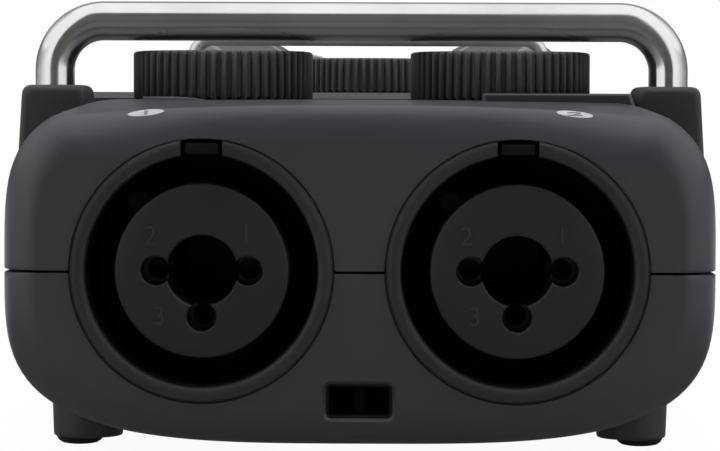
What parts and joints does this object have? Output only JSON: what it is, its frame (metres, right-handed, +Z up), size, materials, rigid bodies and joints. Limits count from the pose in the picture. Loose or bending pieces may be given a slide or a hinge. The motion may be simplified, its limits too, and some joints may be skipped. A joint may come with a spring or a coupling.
{
  "type": "portable field recorder",
  "caption": "Handheld audio recorder lying on its back: combination input jacks, ribbed gain knobs behind a guard bar, display, keys and a detachable crossed-microphone module.",
  "frame": {"origin": "under the middle of the recorder's bounding box, on the surface that its feet stand on", "axes": "+Z up out of the deck, -Y towards the jack end, +Y towards the microphones, +X to the right seen from the jack end"},
  "size_m": [0.0668, 0.2134, 0.0425],
  "materials": {
    "slate": "fine satin texture, dark slate grey",
    "black_plastic": "moulded black, fine grain",
    "tab_metal": "plain steel, dull",
    "bright_metal": "polished, nearly mirror bright",
    "knob_black": "soft black, ribbed edge",
    "key_grey": "satin dark grey",
    "record_red": "satin dark red",
    "steel": "plain steel",
    "rubber": "matt black rubber",
    "board_green": "solder-mask green",
    "lcd": "grey-green reflective display",
    "window": "clear dark-edged window",
    "cell_wrap": null,
    "brass": "turned brass",
    "grille_metal": "perforated, satin"
  },
  "bodies": {
    "recorder": {"upper_case": "slate", "lower_case": "slate", "guard_bar": "bright_metal", "guard_posts": "black_plastic", "jack_shell_1": "black_plastic", "jack_shell_2": "black_plastic", "jack_insert_1": "black_plastic", "jack_insert_2": "black_plastic", "jack_contacts": "brass", "strap_pin": "steel", "rubber_feet": "rubber", "main_board": "board_green", "input_board": "board_green", "gain_pots": "steel", "lcd_panel": "lcd", "display_window": "window", "key_switches": "black_plastic", "battery_cells": "cell_wrap", "battery_contacts": "steel", "speaker": "steel", "tripod_nut": "brass", "audio_jacks": "black_plastic", "usb_port": "steel", "card_slot": "steel", "case_screws": "steel", "board_screws": "steel", "module_socket": "black_plastic"},
    "mic_module": {"module_case": "slate", "module_plug": "black_plastic", "wheel_pot": "steel", "wheel_guard": "bright_metal", "mic_arms": "slate", "shock_rings": "rubber", "mic_barrel_1": "bright_metal", "mic_barrel_2": "bright_metal", "mic_grille_1": "grille_metal", "mic_grille_2": "grille_metal", "mic_capsules": "brass"},
    "gain_knob_1_body": {"gain_knob_1": "knob_black"},
    "gain_knob_2_body": {"gain_knob_2": "knob_black"},
    "release_tab_1_body": {"release_tab_1": "tab_metal"},
    "release_tab_2_body": {"release_tab_2": "tab_metal"},
    "rewind_key_body": {"rewind_key": "key_grey"},
    "stop_key_body": {"stop_key": "key_grey"},
    "record_key_body": {"record_key": "record_red"},
    "play_key_body": {"play_key": "key_grey"},
    "forward_key_body": {"forward_key": "key_grey"},
    "track_key_1_body": {"track_key_1": "key_grey"},
    "track_key_2_body": {"track_key_2": "key_grey"},
    "track_key_3_body": {"track_key_3": "key_grey"},
    "menu_key_body": {"menu_key": "key_grey"},
    "scroll_wheel_body": {"scroll_wheel": "knob_black"},
    "power_switch_body": {"power_switch": "key_grey"},
    "volume_rocker_body": {"volume_rocker": "key_grey"},
    "battery_cover_body": {"battery_cover": "slate"},
    "card_door_body": {"card_door": "key_grey"},
    "mic_wheel_body": {"mic_wheel": "knob_black"},
    "module_latch_1_body": {"module_latch_1": "key_grey"},
    "module_latch_2_body": {"module_latch_2": "key_grey"}
  },
  "joints": [
    {"name": "gain_turn_1", "type": "hinge", "parent": "recorder", "child": "gain_knob_1_body", "pos_m": [-0.01375, -0.08575, 0.035], "axis": [0, 0, 1], "range_deg": [-150, 150]},
    {"name": "gain_turn_2", "type": "hinge", "parent": "recorder", "child": "gain_knob_2_body", "pos_m": [0.01375, -0.08575, 0.035], "axis": [0, 0, 1], "range_deg": [-150, 150]},
    {"name": "tab_press_1", "type": "slide", "parent": "recorder", "child": "release_tab_1_body", "axis": [0, 1, 0], "range_m": [0, 0.001], "stiffness_N_per_m": 1500},
    {"name": "tab_press_2", "type": "slide", "parent": "recorder", "child": "release_tab_2_body", "axis": [0, 1, 0], "range_m": [0, 0.001], "stiffness_N_per_m": 1500},
    {"name": "rewind_key_press", "type": "slide", "parent": "recorder", "child": "rewind_key_body", "axis": [0, 0, -1], "range_m": [0, 0.0006], "stiffness_N_per_m": 2500},
    {"name": "stop_key_press", "type": "slide", "parent": "recorder", "child": "stop_key_body", "axis": [0, 0, -1], "range_m": [0, 0.0006], "stiffness_N_per_m": 2500},
    {"name": "record_key_press", "type": "slide", "parent": "recorder", "child": "record_key_body", "axis": [0, 0, -1], "range_m": [0, 0.0006], "stiffness_N_per_m": 2500},
    {"name": "play_key_press", "type": "slide", "parent": "recorder", "child": "play_key_body", "axis": [0, 0, -1], "range_m": [0, 0.0006], "stiffness_N_per_m": 2500},
    {"name": "forward_key_press", "type": "slide", "parent": "recorder", "child": "forward_key_body", "axis": [0, 0, -1], "range_m": [0, 0.0006], "stiffness_N_per_m": 2500},
    {"name": "track_key_1_press", "type": "slide", "parent": "recorder", "child": "track_key_1_body", "axis": [0, 0, -1], "range_m": [0, 0.0006], "stiffness_N_per_m": 2500},
    {"name": "track_key_2_press", "type": "slide", "parent": "recorder", "child": "track_key_2_body", "axis": [0, 0, -1], "range_m": [0, 0.0006], "stiffness_N_per_m": 2500},
    {"name": "track_key_3_press", "type": "slide", "parent": "recorder", "child": "track_key_3_body", "axis": [0, 0, -1], "range_m": [0, 0.0006], "stiffness_N_per_m": 2500},
    {"name": "menu_key_press", "type": "slide", "parent": "recorder", "child": "menu_key_body", "axis": [-1, 0, 0], "range_m": [0, 0.0006], "stiffness_N_per_m": 2500},
    {"name": "scroll_turn", "type": "hinge", "parent": "recorder", "child": "scroll_wheel_body", "pos_m": [0.028, -0.01375, 0.0218], "axis": [0, 0, 1], "continuous": true},
    {"name": "power_slide", "type": "slide", "parent": "recorder", "child": "power_switch_body", "axis": [0, 1, 0], "range_m": [-0.0025, 0.0025]},
    {"name": "volume_rock", "type": "hinge", "parent": "recorder", "child": "volume_rocker_body", "pos_m": [-0.03, -0.02475, 0.0218], "axis": [0, 0, 1], "range_deg": [-4, 4], "stiffness_Nm_per_rad": 0.1},
    {"name": "cover_lift", "type": "slide", "parent": "recorder", "child": "battery_cover_body", "axis": [0, 0, -1], "range_m": [0, 0.015]},
    {"name": "card_door_swing", "type": "hinge", "parent": "recorder", "child": "card_door_body", "pos_m": [0.0326, -0.04575, 0.0184], "axis": [0, 1, 0], "range_deg": [0, 90]},
    {"name": "module_pull", "type": "slide", "parent": "recorder", "child": "mic_module", "axis": [0, 1, 0], "range_m": [0, 0.03]},
    {"name": "wheel_turn", "type": "hinge", "parent": "mic_module", "child": "mic_wheel_body", "pos_m": [0, 0.03925, 0.036], "axis": [0, 0, 1], "range_deg": [-150, 150]},
    {"name": "latch_press_1", "type": "slide", "parent": "mic_module", "child": "module_latch_1_body", "axis": [1, 0, 0], "range_m": [0, 0.0012], "stiffness_N_per_m": 1500},
    {"name": "latch_press_2", "type": "slide", "parent": "mic_module", "child": "module_latch_2_body", "axis": [-1, 0, 0], "range_m": [0, 0.0012], "stiffness_N_per_m": 1500}
  ]
}
